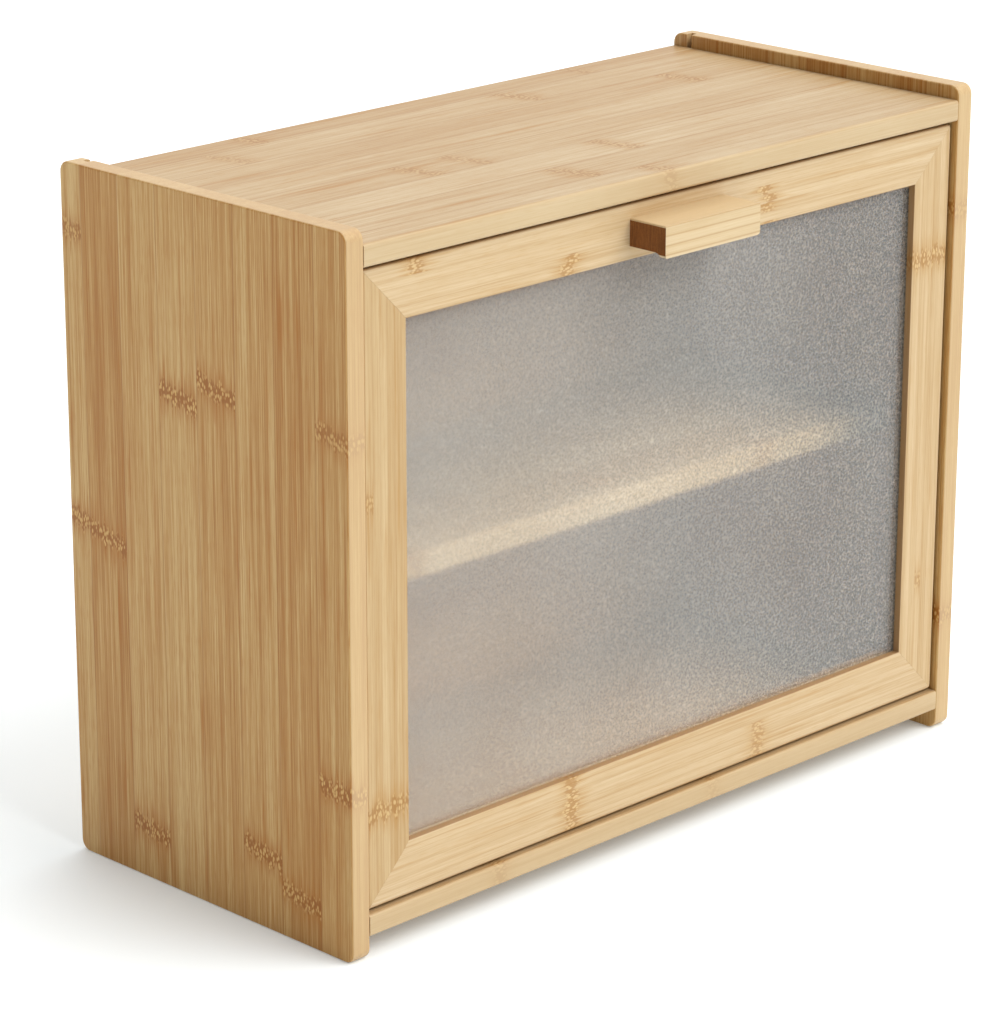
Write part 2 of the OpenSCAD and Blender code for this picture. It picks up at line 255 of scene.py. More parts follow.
def board_mesh(low, high, through, radius, ease, ease_steps=4):
    """A board whose outline across the axis called through has round corners and eased edges."""
    axis = "xyz".index(through)
    first, second = [other for other in range(3) if other != axis]
    rings = []
    for end, way in ((low[axis], 1), (high[axis], -1)):
        layers = []
        for step in range(ease_steps + 1):
            angle = math.pi / 2 * step / ease_steps
            inset = ease * (1 - math.sin(angle))
            depth = end + way * ease * (1 - math.cos(angle))
            flat = rounded_outline((low[first], low[second]), (high[first], high[second]), radius, inset)
            ring = []
            for a, b in flat:
                point = [0, 0, 0]
                point[axis], point[first], point[second] = depth, a, b
                ring.append(point)
            layers.append(ring)
        rings += layers if way == 1 else layers[::-1]
    return skin(rings)


def place_piece(name, mesh, material, slot, body, *nodes, sharp=40):
    """Turns a mesh into a piece of the box that rides on a body in place of its CAD nodes."""
    data = bpy.data.meshes.new(name)
    if isinstance(mesh, bmesh.types.BMesh):
        mesh.to_mesh(data)
        mesh.free()
    else:
        data = mesh
    data.shade_smooth()
    data.set_sharp_from_angle(angle=math.radians(sharp))
    for coat in material if isinstance(material, list) else [material]:
        data.materials.append(coat)
    piece = bpy.data.objects.new(name, data)
    bpy.context.scene.collection.objects.link(piece)
    weighted = piece.modifiers.new("even_shading", "WEIGHTED_NORMAL")
    weighted.keep_sharp = True
    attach(piece, body)
    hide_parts(*nodes)
    return piece


def cut_from(mesh, *cutters):
    """The mesh with each of the cutters' solids taken out of it."""
    carrier = bpy.data.objects.new("carrier", bpy.data.meshes.new("carrier"))
    mesh.to_mesh(carrier.data)
    mesh.free()
    bpy.context.scene.collection.objects.link(carrier)
    tools = []
    for cutter in cutters:
        tool = bpy.data.objects.new("cutter", bpy.data.meshes.new("cutter"))
        cutter.to_mesh(tool.data)
        cutter.free()
        bpy.context.scene.collection.objects.link(tool)
        tools.append(tool)
        saw = carrier.modifiers.new("saw", "BOOLEAN")
        saw.operation = "DIFFERENCE"
        saw.solver = "EXACT"
        saw.object = tool
    depsgraph = bpy.context.evaluated_depsgraph_get()
    result = bpy.data.meshes.new_from_object(carrier.evaluated_get(depsgraph))
    for gone in tools + [carrier]:
        bpy.data.objects.remove(gone)
    return result


def block_mesh(low, high):
    """A plain block, for cutting a groove."""
    return skin([
        [(low[0], low[1], z), (high[0], low[1], z), (high[0], high[1], z), (low[0], high[1], z)]
        for z in (low[2], high[2])
    ])


def bamboo(name, corner, grain, across, strip, first, rows, tone, seed, length, knots=1.0, seams=0.4,
           gloss=0.40, streak=1.0, edge=None, lean=0.12):
    """Lacquered bamboo. Strips of the given width in mm lie side by side from the board's corner, of
    which the first is cut down to the given part. Each row gives a strip's tone from 0 to 1 and where
    its knuckles are, in mm along the grain. Edge gives an axis, a colour and a weight for the faces
    that are turned to that axis, or for all the others where it says not."""
    material, shader, place = start_material(name)
    deep = "xyz".replace(grain, "").replace(across, "")
    from_corner = in_mm(place.node("VectorMath", {"operation": "SUBTRACT"}, {0: place, 1: corner}))
    along, side, depth = [along_axis(from_corner, axis) for axis in (grain, across, deep)]

    # Which strip this is, and its row: tone and knuckles travel in the colours of one ramp.
    count = len(rows)
    lanes = side / strip + (1.0 - first)
    number = lanes.maths("FLOOR")
    inside = lanes - number
    spare = 100.0
    reach = length + 2 * spare
    stops = []
    for lane, (lane_shade, one, two) in enumerate(rows):
        stops.append((lane / count, (lane_shade, (one + spare) / reach, (two + spare) / reach, 1.0)))
    card = lanes.node("ValToRGB", {"stops": stops, "between": "CONSTANT"}, {0: (number + 0.5) / count})
    lane_tone, knuckle_one, knuckle_two = [card.node("SeparateColor", {}, {0: card}, out) for out in range(3)]
    knuckle_one = knuckle_one * reach - spare
    knuckle_two = knuckle_two * reach - spare

    def line(per_along, per_side, shift):
        """A place stretched along the grain, and shifted so that each strip has its own pattern."""
        offset = number * 17.3 + (seed + shift)
        sockets = {0: along * per_along + offset, 1: side * per_side, 2: depth * per_side}
        return along.node("CombineXYZ", {}, sockets)

    def fibres(per_along, per_side, detail, shift):
        way = line(per_along, per_side, shift)
        return way.node("TexNoise", {}, {"Vector": way, "Scale": 1.0, "Detail": detail, "Roughness": 0.6})

    # Fine fibres, broad bands and long clouds shade the wood from dark to pale.
    fine = fibres(0.014, 1.5, 3.0, 0.0)
    broad = fibres(0.004, 0.30, 2.0, 5.0)
    cloud = fibres(0.014, 0.03, 2.0, 9.0)
    dark, middle, pale = tone
    bands = (fine - 0.5) * (1.15 * streak) + (broad - 0.5) * (0.8 * streak) + (cloud - 0.5) * 0.5
    shade = (lane_tone - 0.5) * 1.4 + bands + 0.5
    wood = shade.node("ValToRGB", {"stops": [(0.0, dark), (0.5, middle), (1.0, pale)]}, {0: shade})

    # Open pores and flames are rust brown.
    rust = rgb(dark[0], dark[1] * 0.84, dark[2] * 0.45)
    umber = rgb(dark[0] * 0.72, dark[1] * 0.52, dark[2] * 0.25)
    cream = rgb(pale[0] * 1.06, pale[1] * 1.02, pale[2] * 0.85)
    pores = smooth(fibres(0.10, 2.8, 1.0, 13.0), 0.50, 0.72)
    wood = mixed(pores * (0.22 * streak), wood, rust)
    flames = smooth(fibres(0.011, 0.24, 2.0, 61.0), 0.56, 0.76)
    wood = mixed(flames * (0.42 * streak), wood, rust)

    # A knuckle is a leaning, frayed row of pale beads in dark rings, with a rusty glow round it.
    glow_half, bead_near, bead_far = 12.0, 2.4, 5.0
    wobble = (fibres(0.02, 0.30, 2.0, 21.0) - 0.5) * 9.0
    frayed = fibres(0.03, 1.05, 1.0, 41.0) - 0.5
    bead_place = line(0.42, 0.85, 31.0)
    cells = bead_place.node("TexVoronoi", {}, {"Vector": bead_place, "Scale": 1.0})
    rings = smooth(cells, 0.40, 0.62)
    beads = 1.0 - smooth(cells, 0.26, 0.52)
    for centre, weight in ((knuckle_one, knots), (knuckle_two, 0.75 * knots)):
        away = along - centre + (inside - 0.5) * (strip * lean) + wobble
        apart = away.maths("ABSOLUTE")
        glow = 1.0 - smooth(apart / glow_half + frayed * 2.6, 0.0, 1.0)
        near = 1.0 - smooth(apart + frayed * 9.0, bead_near, bead_far)
        wood = mixed(glow * (0.72 * weight), wood, rust)
        wood = mixed(near * rings * (0.66 * weight), wood, umber)
        wood = mixed(near * beads * (0.80 * weight), wood, cream)

    # Glue seams between the strips come and go.
    seam_width = 1.4
    seam = smooth((inside - 0.5).maths("ABSOLUTE") * 2.0, 1.0 - seam_width / strip, 1.0)
    wood = mixed(seam * cloud * (1.9 * seams), wood, umber)

    # Where a caller gives a dark edge colour, as the door bars do, this paints shade onto their faces turned
    # to that axis.
    if edge is not None:
        edge_axis, edge_colour, edge_weight = edge
        turned = along_axis(place.node("TexCoord", {}, {}, 1), edge_axis[-1]).maths("ABSOLUTE")
        rim = smooth(turned, 0.4, 0.8)
        if edge_axis.startswith("not"):
            rim = 1.0 - rim
        wood = mixed(rim * edge_weight, wood, edge_colour)
    relief = fine * 0.6 - pores * 0.5 - seam * 0.8
    bump = relief.node("Bump", {}, {"Strength": 0.16, "Distance": 0.12 * MM, "Height": relief})
    wire(shader, Base_Color=wood, Roughness=(fine - 0.5) * 0.16 + pores * 0.06 + gloss, Normal=bump,
         Specular_IOR_Level=0.24, Coat_Weight=0.03, Coat_Roughness=0.28)
    return material


# In part painted shade: the side boards' faces take these tones, darker and warmer orange than the edge
# colour on their edges, so the warmth of shade is painted into the wood's own colour.
side_tone_with_painted_shade = (rgb(0.405, 0.176, 0.037), rgb(0.525, 0.298, 0.098), rgb(0.630, 0.425, 0.182))
side_edge = ("not x", rgb(0.545, 0.415, 0.245), 0.62)
none = -80.0  # off the end of any board: no knuckle here
left_low, left_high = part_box("left_side_panel")
right_low, right_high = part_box("right_side_panel")
back_low, back_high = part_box("back_panel")
panel_length = (left_high.z - left_low.z) / MM
strip_width = 24.5
left_rows = [
    (0.44, 77, 232), (0.38, 21, none), (0.54, 35, none), (0.48, 237, none), (0.62, 229, none),
    (0.56, 24, none), (0.34, 155, none), (0.62, 160, 291),
]
right_rows = [
    (0.60, 60, 262), (0.45, 121, none), (0.56, 204, none), (0.38, 40, 283), (0.60, 171, none),
    (0.50, 88, none), (0.42, 246, none), (0.55, 132, 20),
]
groove_spare, groove_depth = 0.1 * MM, 4 * MM
side_corner, side_ease = 5 * MM, 0.9 * MM
for name, low, high, rows, seed, groove_from, groove_to in (
    ("left_side_panel", left_low, left_high, left_rows, 3.0,
     left_high.x - groove_depth, left_high.x + MM),
    ("right_side_panel", right_low, right_high, right_rows, 47.0,
     right_low.x - MM, right_low.x + groove_depth),
):
    groove = block_mesh(
        (groove_from, back_low.y - groove_spare, low.z - MM),
        (groove_to, back_high.y + groove_spare, high.z + MM),
    )
    coat = bamboo(name + "_bamboo", low, "z", "y", strip_width, 0.80, rows, side_tone_with_painted_shade, seed, panel_length,
                  streak=1.9, edge=side_edge, lean=-0.18)
    panel = cut_from(board_mesh(low, high, "x", side_corner, side_ease), groove)
    place_piece(name, panel, coat, "bamboo_board", "carcass", name)

# ---- Bottom and top panels ----
# Two more boards, glued and dowelled between the sides with the grain running across the box.
# Their front and rear edges are rounded over, and a groove in each takes the back panel.

board_edge = 1.5 * MM
board_ease = 0.25 * MM
bottom_tone = (rgb(0.345, 0.19, 0.068), rgb(0.445, 0.30, 0.152), rgb(0.515, 0.372, 0.21))
top_tone = (rgb(0.38, 0.22, 0.09), rgb(0.465, 0.33, 0.178), rgb(0.54, 0.42, 0.26))
bottom_low, bottom_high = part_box("bottom_panel")
top_low, top_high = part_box("top_panel")
board_length = (top_high.x - top_low.x) / MM
top_rows = [
    (0.58, 182, none), (0.50, 149, none), (0.62, 201, none), (0.46, 103, 133), (0.54, none, none),
    (0.42, 326, none), (0.50, 240, 60), (0.36, 90, 300),
]
bottom_rows = [
    (0.55, 78, 216), (0.45, 300, none), (0.60, 40, 250), (0.50, 160, none), (0.38, 330, 95),
    (0.55, 205, none), (0.46, 118, 350), (0.52, 270, none),
]
board_rim = ("y", rgb(0.58, 0.445, 0.265), 0.55)
for name, low, high, rows, tone, seed, groove_from, groove_to in (
    ("bottom_panel", bottom_low, bottom_high, bottom_rows, bottom_tone, 71.0,
     bottom_high.z - groove_depth, bottom_high.z + MM),
    ("top_panel", top_low, top_high, top_rows, top_tone, 90.0, top_low.z - MM, top_low.z + groove_depth),
):
    groove = block_mesh(
        (low.x - MM, back_low.y - groove_spare, groove_from),
        (high.x + MM, back_high.y + groove_spare, groove_to),
    )
    coat = bamboo(name + "_bamboo", low, "x", "y", strip_width, 0.6, rows, tone, seed, board_length,
                  knots=0.65, streak=1.5, edge=board_rim, lean=0.3)
    panel = cut_from(board_mesh(low, high, "x", board_edge, board_ease), groove)
    place_piece(name, panel, coat, "bamboo_board", "carcass", name)

# ---- Back panel ----
# A thin sheet of bamboo ply, lacquered like the boards, that sits loose in the four grooves.

back_tone = (rgb(0.42, 0.225, 0.08), rgb(0.565, 0.36, 0.166), rgb(0.645, 0.45, 0.237))
back_rows = [
    (0.46, 96, none), (0.55, 305, none), (0.40, 168, 352), (0.58, 28, 246),
    (0.48, 133, none), (0.42, 322, none), (0.55, 74, 281), (0.50, 207, none),
    (0.38, 12, 178), (0.56, 261, none), (0.45, 110, 366), (0.52, 47, 222),
]
veneer_width, back_length = 24.6, 387.0
back_corner, back_ease = 0.3 * MM, 0.15 * MM
back_coat = bamboo("back_panel_ply", back_low, "x", "z", veneer_width, 0.7, back_rows, back_tone, 130.0,
                   back_length, knots=0.7)
back_mesh = board_mesh(back_low, back_high, "y", back_corner, back_ease)
place_piece("back_panel", back_mesh, back_coat, "bamboo_sheet", "carcass", "back_panel")

# ---- Dowels ----
# Plain beech dowels, glued three to a joint, hold the four boards. They can't be seen once the
# case is together.

dowel_rows = [(0.5, none, none)] * 4
dowel_tone = (rgb(0.42, 0.28, 0.15), rgb(0.54, 0.39, 0.235), rgb(0.60, 0.46, 0.30))
dowel_corner = Vector((-0.2, -0.1, 0))
beech = bamboo("dowel_beech", dowel_corner, "x", "y", 60.0, 0.5, dowel_rows, dowel_tone, 150.0, 400.0,
               knots=0.0, gloss=0.6)
for name in ("top_left_dowels", "top_right_dowels", "bottom_left_dowels", "bottom_right_dowels"):
    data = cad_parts[name].data
    data.materials.clear()
    data.materials.append(beech)

# ---- Shelf supports ----
# Four bright steel shelf pins: a round stem pressed into the side panel and a flat tongue on
# which the shelf lies.


def turned_rings(profile, centre, axis, count=32):
    """Rings of a turned piece. The profile gives (distance along the axis, radius) pairs."""
    across = axis.orthogonal().normalized()
    over = axis.cross(across)
    angles = [2 * math.pi * k / count for k in range(count)]
    spokes = [across * math.cos(angle) + over * math.sin(angle) for angle in angles]
    return [[centre + axis * reach + spoke * radius for spoke in spokes] for reach, radius in profile]


def joined(*meshes):
    """One mesh made of several."""
    whole = bmesh.new()
    for mesh in meshes:
        part = bpy.data.meshes.new("part")
        mesh.to_mesh(part)
        mesh.free()
        whole.from_mesh(part)
        bpy.data.meshes.remove(part)
    return whole


def plated(name, colour, roughness, grain):
    """Bright plated steel with fine drawing marks and a few dull patches."""
    material, shader, place = start_material(name)
    place = in_mm(place)
    marks = place.node("TexNoise", {}, {"Vector": place, "Scale": grain, "Detail": 3.0, "Roughness": 0.7})
    dull = place.node("TexNoise", {}, {"Vector": place, "Scale": 0.35, "Detail": 2.0})
    tarnish = rgb(colour[0] * 0.72, colour[1] * 0.72, colour[2] * 0.74)
    tint = mixed(dull * 0.35, colour, tarnish)
    gloss = (dull - 0.5) * 0.25 + (marks - 0.5) * 0.12 + roughness
    bump = marks.node("Bump", {}, {"Strength": 0.12, "Distance": 0.04 * MM, "Height": marks})
    wire(shader, Base_Color=tint, Metallic=1.0, Roughness=gloss, Normal=bump)
    return material


steel = plated("plated_steel", rgb(0.68, 0.68, 0.67), 0.30, 4.0)
supports_low, supports_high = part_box("shelf_supports")
stem_radius, stem_chamfer = 2.5 * MM, 0.5 * MM
tongue_length, tongue_width, tongue_thick = 9 * MM, 8 * MM, 2.4 * MM
tongue_corner, tongue_ease = 1.2 * MM, 0.3 * MM
stem_middle = supports_low.z + stem_radius


def pin_profile(length, radius, chamfer):
    """The profile of a plain round pin with a small chamfer at both ends."""
    return [(0, radius - chamfer), (chamfer, radius), (length - chamfer, radius), (length, radius - chamfer)]


supports = []
for hand in (-1, 1):
    face = right_low.x * hand
    tip = face - hand * tongue_length
    for y in (supports_low.y + tongue_width / 2, supports_high.y - tongue_width / 2):
        start = Vector((face - hand * tongue_length / 3, y, stem_middle))
        stem_length = abs(supports_high.x * hand - start.x)
        stem = pin_profile(stem_length, stem_radius, stem_chamfer)
        supports.append(skin(turned_rings(stem, start, Vector((hand, 0, 0)))))
        supports.append(board_mesh(
            (min(face, tip), y - tongue_width / 2, supports_high.z - tongue_thick),
            (max(face, tip), y + tongue_width / 2, supports_high.z),
            "z", tongue_corner, tongue_ease,
        ))
place_piece("shelf_supports", joined(*supports), steel, "plated_steel", "carcass", "shelf_supports")

# ---- Shelf ----
# A loose board like the top and bottom, with rounded front and rear edges. It lies on the four
# supports and lifts out.

shelf_low, shelf_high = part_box("shelf")
shelf_rows = [
    (0.55, 62, 290), (0.42, 190, none), (0.60, 330, 120),
    (0.48, 235, none), (0.38, 30, 175), (0.55, 300, none),
]
shelf_tone = (rgb(0.42, 0.27, 0.12), rgb(0.56, 0.42, 0.25), rgb(0.64, 0.51, 0.34))
shelf_length = 378.0
shelf_coat = bamboo("shelf_bamboo", shelf_low, "x", "y", strip_width, 0.4, shelf_rows, shelf_tone, 170.0,
                    shelf_length, lean=0.35)
shelf_board = board_mesh(shelf_low, shelf_high, "x", board_edge, board_ease)
place_piece("shelf", shelf_board, shelf_coat, "bamboo_board", "shelf", "shelf")

# ---- Stop cleat and its screws ----
# A bamboo bar screwed up into the top panel behind the door. The door closes against it and its
# front face holds the two magnets. The screws are countersunk, with a cross recess.

cleat_low, cleat_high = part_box("stop_cleat")
cleat_screws_low, cleat_screws_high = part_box("cleat_screws")
magnet_low, magnet_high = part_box("right_magnet")


def countersink(place, way, shank, deep, spare=0.05 * MM):
    """The conical seat that a countersunk head leaves, with the hole for its shank."""
    head, hole = shank + spare, shank / 2 + spare
    return skin(turned_rings([(-MM, head), (0, head), (shank / 2, hole), (deep, hole)], place, way))


def screw_mesh(place, way, shank, length):
    """A wood screw with its head's flat face at place: cross recess, cone, and a cut thread."""
    head, core = shank, shank / 2
    flat = 0.12 * MM
    neck = shank * 0.9
    head_rings = turned_rings([(0, head - flat), (flat, head), (core, core), (neck, core * 0.96)], place, way)
    arm, width, sink = head * 0.62, head * 0.17, shank * 0.42
    across = way.orthogonal().normalized()
    over = way.cross(across)
    plus = [(arm, width), (width, width), (width, arm)]
    for turn in range(3):
        plus += [(-b, a) for a, b in plus[-3:]]
    recess = skin([
        [place + way * depth + (across * a + over * b) * shrink for a, b in plus]
        for depth, shrink in ((-0.2 * MM, 1.0), (sink * 0.35, 0.92), (sink, 0.42))
    ])
    head_mesh = cut_from(skin(head_rings), recess)
    thread = bmesh.new()
    thread.from_mesh(head_mesh)
    bpy.data.meshes.remove(head_mesh)
    half_pitch, count = shank * 0.42 / 2, 20
    crest, root, taper_length, tip = 0.98, 0.70, shank * 1.3, 0.12
    half_turns = int((length - neck) / half_pitch) - 2
    rows = []
    for row in range(half_turns):
        ring = []
        for k in range(count):
            reach = neck + (row + 2 * k / count) * half_pitch
            taper = min(1.0, max(tip, (length - reach) / taper_length))
            radius = core * (root if row % 2 else crest) * taper
            angle = 2 * math.pi * k / count
            spoke = across * math.cos(angle) + over * math.sin(angle)
            ring.append(thread.verts.new(place + way * reach + spoke * radius))
        rows.append(ring)
    # Rows are half a turn's height apart, so a ring that comes round meets the row two further on.
    for row in range(half_turns - 1):
        for k in range(count - 1):
            thread.faces.new((rows[row][k], rows[row][k + 1], rows[row + 1][k + 1], rows[row + 1][k]))
        if row + 3 < half_turns:
            thread.faces.new((rows[row][-1], rows[row + 2][0], rows[row + 3][0], rows[row + 1][-1]))
    open_edges = [edge for edge in thread.edges if len(edge.link_faces) == 1]
    bmesh.ops.holes_fill(thread, edges=open_edges, sides=0)
    bmesh.ops.recalc_face_normals(thread, faces=thread.faces)
    return thread


cleat_shank = 3.5 * MM
cleat_screw_xs = (cleat_screws_low.x + cleat_shank, 0.0, cleat_screws_high.x - cleat_shank)
cleat_screw_y = (cleat_screws_low.y + cleat_screws_high.y) / 2
cleat_screw_length = cleat_screws_high.z - cleat_screws_low.z
cleat_screw_heads = [Vector((x, cleat_screw_y, cleat_low.z)) for x in cleat_screw_xs]
upward, backward, forward = Vector((0, 0, 1)), Vector((0, 1, 0)), Vector((0, -1, 0))
through_cleat = cleat_high.z - cleat_low.z + MM
cleat_holes = [countersink(head, upward, cleat_shank, through_cleat) for head in cleat_screw_heads]
magnet_x, magnet_z = (magnet_low.x + magnet_high.x) / 2, (magnet_low.z + magnet_high.z) / 2
magnet_radius = (magnet_high.z - magnet_low.z) / 2
magnet_thick = magnet_high.y - magnet_low.y
pocket_spare = 0.05 * MM
for hand in (-1, 1):
    pocket_start = Vector((magnet_x * hand, magnet_low.y - MM, magnet_z))
    pocket = [(0, magnet_radius + pocket_spare), (MM + magnet_thick, magnet_radius + pocket_spare)]
    cleat_holes.append(skin(turned_rings(pocket, pocket_start, backward)))
cleat_rows = [(0.5, 90, 300)]
cleat_length = 379.0
cleat_coat = bamboo("stop_cleat_bamboo", cleat_low, "x", "y", strip_width, 0.6, cleat_rows, shelf_tone, 190.0,
                    cleat_length)
cleat = cut_from(board_mesh(cleat_low, cleat_high, "x", board_edge, board_ease), *cleat_holes)
place_piece("stop_cleat", cleat, cleat_coat, "bamboo_board", "carcass", "stop_cleat")
cleat_screws = [screw_mesh(head, upward, cleat_shank, cleat_screw_length) for head in cleat_screw_heads]
place_piece("cleat_screws", joined(*cleat_screws), steel, "plated_steel", "carcass", "cleat_screws", sharp=30)

# ---- Magnets ----
# Nickel-plated disc magnets, pressed flush into the front of the cleat.

nickel = plated("magnet_nickel", rgb(0.56, 0.55, 0.53), 0.26, 6.0)
magnet_rim = 0.4 * MM
magnet_turn = 0.3 * magnet_rim
disc_steps = 48
front_rim = [
    (0, magnet_radius - magnet_rim), (magnet_turn, magnet_radius - magnet_turn), (magnet_rim, magnet_radius),
]
magnet_profile = front_rim + [(magnet_thick - reach, radius) for reach, radius in front_rim[::-1]]
for name, hand in (("left_magnet", -1), ("right_magnet", 1)):
    centre = Vector((magnet_x * hand, magnet_low.y, magnet_z))
    disc = skin(turned_rings(magnet_profile, centre, backward, disc_steps))
    place_piece(name, disc, nickel, "magnet_nickel", "carcass", name)

# ---- Door frame ----
# Four bars of laminated bamboo, mitred at the corners and glued over hidden splines. Each has one
# moulded section: a rounded outer front edge, a groove for the pane, and a shallow bevel round
# the opening.

head_trim = 0.4 * MM  # planed off the top of the frame, so that it clears the case
stile_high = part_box("door_right_stile")[1]
rail_low, rail_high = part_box("door_top_rail")
sill_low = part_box("door_bottom_rail")[0]
pane_low, pane_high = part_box("door_pane")
door_front, door_rear = rail_low.y, rail_high.y
door_left, door_right = -stile_high.x, stile_high.x
door_foot, door_head = sill_low.z, rail_high.z - head_trim
frame_width = rail_high.z - rail_low.z
frame_thick = door_rear - door_front
edge_round, corner_round = 1.5 * MM, 2 * MM
bevel_wide, bevel_deep = 4 * MM, 0.5 * MM
pane_gap = 0.1 * MM
groove_front = pane_low.y - pane_gap - door_front
groove_back = pane_high.y + pane_gap - door_front
groove_floor = frame_width - 5 * MM
rear_ease = 0.3 * MM
lip_ease = 0.15 * MM
turns = [math.radians(angle) for angle in (0, 18, 36, 54, 72, 90)]
section = [(edge_round * (1 - math.cos(turn)), edge_round * (1 - math.sin(turn))) for turn in turns]
section += [
    (frame_width - bevel_wide, 0), (frame_width - lip_ease, bevel_deep - 0.02 * MM),
    (frame_width, bevel_deep + lip_ease), (frame_width, groove_front),
    (groove_floor, groove_front), (groove_floor, groove_back), (frame_width, groove_back),
    (frame_width, frame_thick - rear_ease), (frame_width - rear_ease, frame_thick),
    (rear_ease, frame_thick), (0, frame_thick - rear_ease),
]
mitre_gap = 0.03 * MM
corner_steps = 5


def bar_mesh(origin, run, inward, length):
    """One bar of the frame. Its outer edge starts at the corner called origin and goes along run."""
    rings = []
    for end in (0, 1):
        columns = []
        for step in range(corner_steps + 1):
            ring = []
            for inset, depth in section:
                if inset < corner_round:
                    radius = corner_round - inset
                    angle = math.pi / 4 * (1 + step / corner_steps)
                    reach = corner_round - radius * math.cos(angle)
                    offset = corner_round - radius * math.sin(angle)
                else:
                    reach = inset + corner_round * (1 - math.sqrt(0.5)) * step / corner_steps
                    offset = inset
                reach += mitre_gap * (1 - step / corner_steps)
                if end:
                    reach = length - reach
                ring.append(origin + run * reach + inward * offset + Vector((0, depth, 0)))
            columns.append(ring)
        rings += columns[::-1] if end else columns
    return skin(rings)


rail_tone = (rgb(0.44, 0.27, 0.11), rgb(0.56, 0.41, 0.235), rgb(0.64, 0.50, 0.315))
right_stile_tone = (rgb(0.42, 0.255, 0.10), rgb(0.55, 0.395, 0.215), rgb(0.64, 0.49, 0.30))
left_stile_tone = (rgb(0.39, 0.225, 0.08), rgb(0.49, 0.34, 0.17), rgb(0.58, 0.435, 0.245))
# Painted shade: the bars' edge faces across the bar, which line the gaps round the door and the opening for
# the pane, are painted dark brown.
bar_edge_painted_shade = rgb(0.27, 0.115, 0.03)
top_rail_rows = [
    (0.42, 120, 250), (0.55, 120, none), (0.50, 123, 248),
    (0.58, 250, none), (0.52, 246, none), (0.55, 30, none),
]
bottom_rail_rows = [
    (0.50, 126, 250), (0.60, 125, 249), (0.54, 124, 250),
    (0.48, 125, 251), (0.56, 126, 249), (0.50, 124, none),
]
left_stile_rows = [
    (0.45, 43, none), (0.55, 42, 181), (0.50, 44, none),
    (0.60, 42, none), (0.42, 43, none), (0.46, 43, none),
]
right_stile_rows = [
    (0.50, 219, none), (0.58, 218, none), (0.48, 220, none),
    (0.55, 219, 60), (0.45, 221, none), (0.55, 219, none),
]
lamination = frame_width / MM / 6

# Holes from behind in the top rail: two for the handle's screws, two pockets for the strike plates.
handle_screws_low, handle_screws_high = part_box("handle_screws")
handle_shank = 3.5 * MM
handle_screw_z = (handle_screws_low.z + handle_screws_high.z) / 2
handle_screw_heads = [
    Vector((x, door_rear, handle_screw_z))
    for x in (handle_screws_low.x + handle_shank, handle_screws_high.x - handle_shank)
]
plate_low, plate_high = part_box("right_strike_plate")
strike_shank, strike_hole = 2.5 * MM, 9.5 * MM
plate_radius = (plate_high.z - plate_low.z) / 2
plate_thick = plate_high.y - plate_low.y
plate_x, plate_z = (plate_low.x + plate_high.x) / 2, (plate_low.z + plate_high.z) / 2
rail_holes = [countersink(head, forward, handle_shank, frame_thick + MM) for head in handle_screw_heads]
for hand in (-1, 1):
    seat = Vector((plate_x * hand, door_rear, plate_z))
    pocket = [(-MM, plate_radius + pocket_spare), (plate_thick, plate_radius + pocket_spare)]
    rail_holes.append(skin(turned_rings(pocket, seat, forward, disc_steps)))
    rail_holes.append(countersink(seat, forward, strike_shank, strike_hole))

# Each row gives the corner where the bar's outer edge starts, the way inward, and its lowest corner.
bars = (
    ("door_top_rail", "x", (door_left, door_head), (0, -1), (door_left, door_head - frame_width),
     top_rail_rows, rail_tone, 210.0),
    ("door_bottom_rail", "x", (door_left, door_foot), (0, 1), (door_left, door_foot),
     bottom_rail_rows, rail_tone, 230.0),
    ("door_left_stile", "z", (door_left, door_foot), (1, 0), (door_left, door_foot),
     left_stile_rows, left_stile_tone, 250.0),
    ("door_right_stile", "z", (door_right, door_foot), (-1, 0), (door_right - frame_width, door_foot),
     right_stile_rows, right_stile_tone, 270.0),
)
for name, grain, origin, inward, lowest, rows, tone, seed in bars:
    if grain == "x":
        across, run, length = "z", Vector((1, 0, 0)), door_right - door_left
    else:
        across, run, length = "x", Vector((0, 0, 1)), door_head - door_foot
    corner = Vector((lowest[0], door_front, lowest[1]))
    coat = bamboo(name + "_bamboo", corner, grain, across, lamination, 0.3, rows, tone, seed, length / MM,
                  knots=0.7, seams=0.12, edge=(across, bar_edge_painted_shade, 0.65), lean=0.0)
    start = Vector((origin[0], door_front, origin[1]))
    bar = bar_mesh(start, run, Vector((inward[0], 0, inward[1])), length)
    if name == "door_top_rail":
        bar = cut_from(bar, *rail_holes)
    place_piece(name, bar, coat, "bamboo_frame", "door", name)

spline_coat = bamboo("mitre_spline_beech", dowel_corner, "x", "y", 60.0, 0.5, dowel_rows, dowel_tone, 290.0,
                     400.0, knots=0.0, gloss=0.6)
spline_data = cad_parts["mitre_splines"].data
spline_data.materials.clear()
spline_data.materials.append(spline_coat)

# ---- Pane ----
# A 3 mm sheet, frosted and pebbled on its front face, that floats in the frame's groove. It passes
# light but blurs whatever stands behind it.

frost_share = 0.135
pane_coat, frost_shader, pane_place = start_material("frosted_pane")
pane_facing = pane_place.node("TexCoord", {}, {}, 1)
pane_mm = in_mm(pane_place)
pebbles = pane_mm.node("TexVoronoi", {}, {"Vector": pane_mm, "Scale": 0.80})
pane_clouds = pane_mm.node("TexNoise", {}, {"Vector": pane_mm, "Scale": 0.012, "Detail": 2.0})
pane_across = along_axis(pane_mm, "x") / ((pane_high.x - pane_low.x) / MM) + 0.5
pane_front = 1.0 - smooth(along_axis(pane_facing, "y"), -0.5, 0.5)
